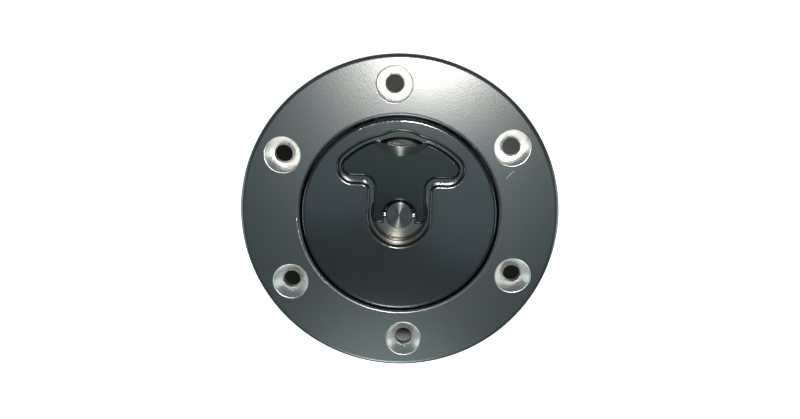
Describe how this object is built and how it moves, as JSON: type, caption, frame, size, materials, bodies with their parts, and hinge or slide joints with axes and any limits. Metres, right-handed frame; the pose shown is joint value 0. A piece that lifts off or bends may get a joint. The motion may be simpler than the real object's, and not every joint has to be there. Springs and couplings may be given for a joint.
{
  "type": "fuel filler cap",
  "caption": "Flush round fuel filler cap: bolted ring with hose neck, and a turning cap locked by a flip-up T lever.",
  "frame": {"origin": "centre of the screw circle on the flange's underside, where it seats on the bodywork", "axes": "+Z out of the filler along its axis, +X along the lever's hinge pin, +Y from the post to the lever's finger end"},
  "size_m": [0.12, 0.12, 0.062],
  "materials": {
    "ring_anodised": "bead-blasted, dark grey anodised, with bare bright countersinks",
    "cap_anodised": "machined and dark anodised, satin",
    "lever_anodised": "machined and dark anodised, satin",
    "neck_aluminium": "turned, bare",
    "post_steel": "turned face, darkened",
    "steel": "bright",
    "spring_steel": "satin",
    "bush_bronze": "bearing bronze, bored",
    "seal_rubber": "matt, fuel resistant"
  },
  "bodies": {
    "ring": {"mounting_ring": "ring_anodised", "filler_neck": "neck_aluminium", "neck_seal": "seal_rubber", "lug_stop_pins": "steel"},
    "cap": {"cap_body": "cap_anodised", "cap_seal": "seal_rubber", "wear_washer": "steel", "spindle_bush": "bush_bronze", "spindle_seal": "seal_rubber", "keyed_retainer": "steel", "upper_spring_seat": "steel", "return_spring": "spring_steel"},
    "spindle": {"spindle": "post_steel", "hinge_pin": "steel", "lower_spring_seat": "steel", "locking_bar": "spring_steel", "bar_washer": "steel", "castle_nut": "steel", "split_pin": "steel"},
    "lever": {"flip_lever": "lever_anodised"}
  },
  "joints": [
    {"name": "cap_turn", "type": "hinge", "parent": "ring", "child": "cap", "pos_m": [0, 0, 0.006], "axis": [0, 0, 1], "range_deg": [0, 90]},
    {"name": "spindle_drop", "type": "slide", "parent": "cap", "child": "spindle", "axis": [0, 0, -1], "range_m": [0, 0.0016], "deforming": ["return_spring"]},
    {"name": "lever_flip", "type": "hinge", "parent": "spindle", "child": "lever", "pos_m": [0, 0, 0.0022], "axis": [1, 0, 0], "range_deg": [0, 90]}
  ],
  "couplings": [
    {"joint": "lever_flip", "follows": "spindle_drop", "rad_per_m": 981.7}
  ]
}
